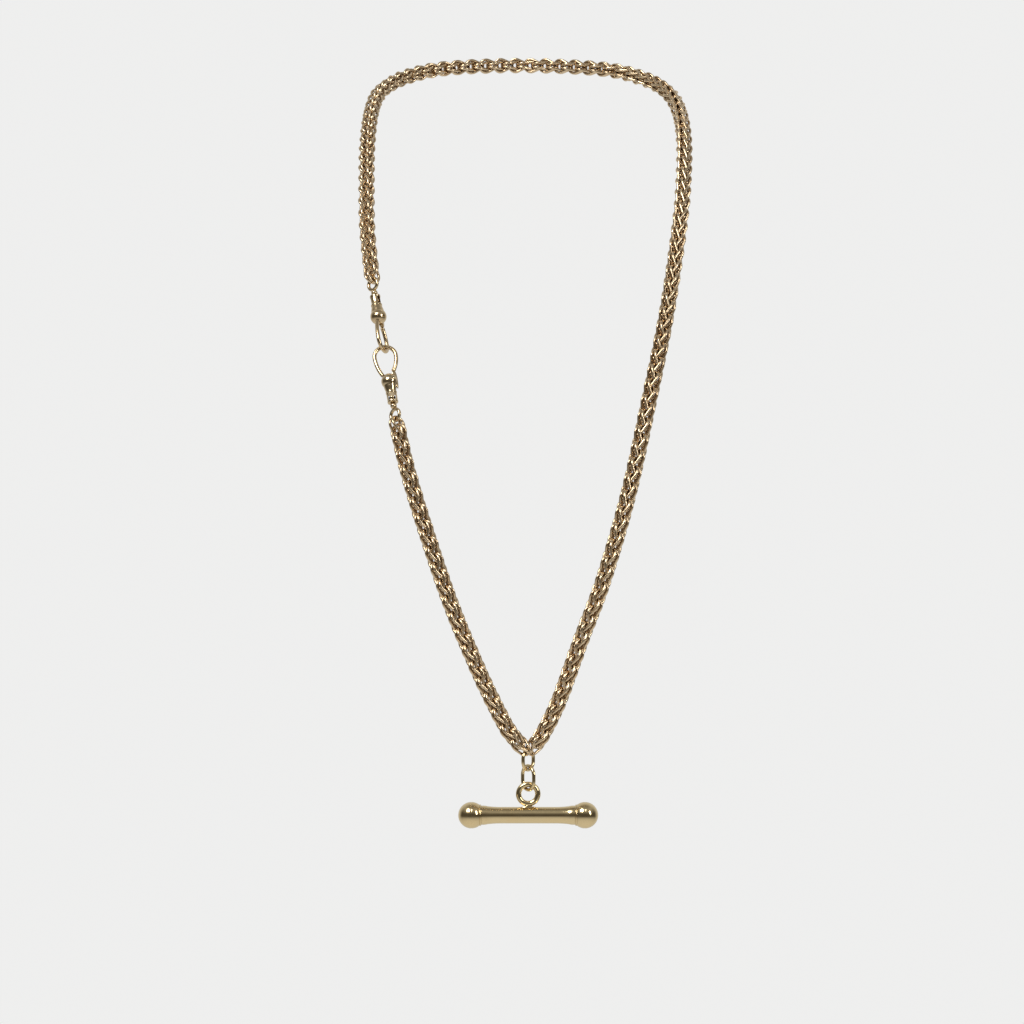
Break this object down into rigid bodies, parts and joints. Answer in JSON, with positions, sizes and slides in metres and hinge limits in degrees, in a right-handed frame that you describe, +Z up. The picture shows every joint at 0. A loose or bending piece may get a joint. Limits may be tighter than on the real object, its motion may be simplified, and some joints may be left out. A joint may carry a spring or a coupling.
{
  "type": "pocket watch chain",
  "caption": "Gold wheat-link watch chain worn round the neck, closed by two hooked dog clips, with a ball-ended T-bar on two drop links.",
  "frame": {"origin": "centre of the chain at the middle of the nape, where it rests on the wearer", "axes": "+Z up, -Y to the front, +X to the viewer's right"},
  "size_m": [0.0904, 0.1209, 0.2107],
  "materials": {
    "gold_chain": "polished yellow gold, worn",
    "gold_clip": "polished yellow gold",
    "gold_drop": "polished yellow gold"
  },
  "bodies": {
    "neck_chain": {"nape_right": "gold_chain", "nape_left": "gold_chain", "shoulder_right": "gold_chain", "shoulder_left": "gold_chain"},
    "drape_1": {"right_1": "gold_chain", "left_1": "gold_chain"},
    "drape_2": {"right_2": "gold_chain", "left_2": "gold_chain"},
    "drape_3": {"right_3": "gold_chain", "left_3": "gold_chain"},
    "drape_4": {"right_4": "gold_chain", "swivel_stem_upper": "gold_clip", "swivel_eye_upper": "gold_clip", "swivel_stem_lower": "gold_clip", "swivel_eye_lower": "gold_clip"},
    "drape_5": {"right_5": "gold_chain", "left_5": "gold_chain"},
    "drape_6": {"right_6": "gold_chain", "left_6": "gold_chain"},
    "drape_7": {"right_7": "gold_chain", "left_7": "gold_chain"},
    "drape_8": {"right_8": "gold_chain", "left_8": "gold_chain"},
    "drape_9": {"right_9": "gold_chain", "left_9": "gold_chain"},
    "clip_pair": {"bulb_upper": "gold_clip", "hook_upper": "gold_clip", "gate_pin_upper": "gold_clip", "bulb_lower": "gold_clip", "hook_lower": "gold_clip", "gate_pin_lower": "gold_clip"},
    "upper_gate": {"gate_upper": "gold_clip"},
    "lower_gate": {"gate_lower": "gold_clip"},
    "upper_drop": {"upper_drop_link": "gold_drop"},
    "lower_drop": {"lower_drop_link": "gold_drop"},
    "t_bar": {"bar": "gold_drop", "ball_left": "gold_drop", "ball_right": "gold_drop", "collar_left": "gold_drop", "collar_right": "gold_drop", "bar_ring": "gold_drop", "bar_ring_foot": "gold_drop"}
  },
  "joints": [
    {"name": "drape_1_bend", "type": "hinge", "parent": "neck_chain", "child": "drape_1", "pos_m": [-0.00008, -0.0555, -0.03117], "axis": [0.9992, -0.0279, -0.0297], "range_deg": [-5, 5]},
    {"name": "drape_2_bend", "type": "hinge", "parent": "drape_1", "child": "drape_2", "pos_m": [-0.00045, -0.06769, -0.04378], "axis": [0.9991, -0.0222, -0.0357], "range_deg": [-6, 6]},
    {"name": "drape_3_bend", "type": "hinge", "parent": "drape_2", "child": "drape_3", "pos_m": [-0.00109, -0.07812, -0.05782], "axis": [0.9991, -0.0175, -0.0393], "range_deg": [-6, 6]},
    {"name": "drape_4_bend", "type": "hinge", "parent": "drape_3", "child": "drape_4", "pos_m": [-0.00133, -0.08694, -0.07088], "axis": [0.9992, 0.0038, -0.0389], "range_deg": [-6, 6]},
    {"name": "drape_5_bend", "type": "hinge", "parent": "drape_4", "child": "drape_5", "pos_m": [-0.00176, -0.10332, -0.10649], "axis": [0.9996, -0.0187, -0.0215], "range_deg": [-6, 6]},
    {"name": "drape_6_bend", "type": "hinge", "parent": "drape_5", "child": "drape_6", "pos_m": [-0.00149, -0.10864, -0.12328], "axis": [0.9998, -0.0171, -0.0086], "range_deg": [-6, 6]},
    {"name": "drape_7_bend", "type": "hinge", "parent": "drape_6", "child": "drape_7", "pos_m": [-0.0009, -0.11202, -0.13868], "axis": [0.9995, -0.01, 0.03], "range_deg": [-6, 6]},
    {"name": "drape_8_bend", "type": "hinge", "parent": "drape_7", "child": "drape_8", "pos_m": [-0.00078, -0.11414, -0.15512], "axis": [0.9994, -0.0001, 0.0352], "range_deg": [-6, 6]},
    {"name": "drape_9_bend", "type": "hinge", "parent": "drape_8", "child": "drape_9", "pos_m": [-0.00039, -0.1149, -0.1714], "axis": [0.9984, 0.0415, 0.0382], "range_deg": [-6, 6]},
    {"name": "clip_swivel", "type": "hinge", "parent": "drape_4", "child": "clip_pair", "pos_m": [-0.03668, -0.09496, -0.08757], "axis": [-0.1675, 0.3865, 0.907], "continuous": true},
    {"name": "upper_gate_hinge", "type": "hinge", "parent": "clip_pair", "child": "upper_gate", "pos_m": [-0.03777, -0.09022, -0.07953], "axis": [-0.9176, 0.2753, -0.2868], "range_deg": [0, 20], "stiffness_Nm_per_rad": 0.002, "springref_deg": -17.19},
    {"name": "lower_gate_hinge", "type": "hinge", "parent": "clip_pair", "child": "lower_gate", "pos_m": [-0.03384, -0.09847, -0.0958], "axis": [0, -0.92, 0.392], "range_deg": [0, 20], "stiffness_Nm_per_rad": 0.002, "springref_deg": -17.19},
    {"name": "upper_drop_swing", "type": "hinge", "parent": "drape_9", "child": "upper_drop", "pos_m": [0.0003, -0.1155, -0.18915], "axis": [0.5736, 0.8192, 0], "range_deg": [-15, 15]},
    {"name": "lower_drop_swing", "type": "hinge", "parent": "upper_drop", "child": "lower_drop", "pos_m": [0.0003, -0.1155, -0.19297], "axis": [0.5736, -0.8192, 0], "range_deg": [-25, 25]},
    {"name": "t_bar_swing", "type": "hinge", "parent": "lower_drop", "child": "t_bar", "pos_m": [0.0003, -0.1155, -0.19897], "axis": [0.5736, -0.8192, 0], "range_deg": [-25, 25]}
  ]
}
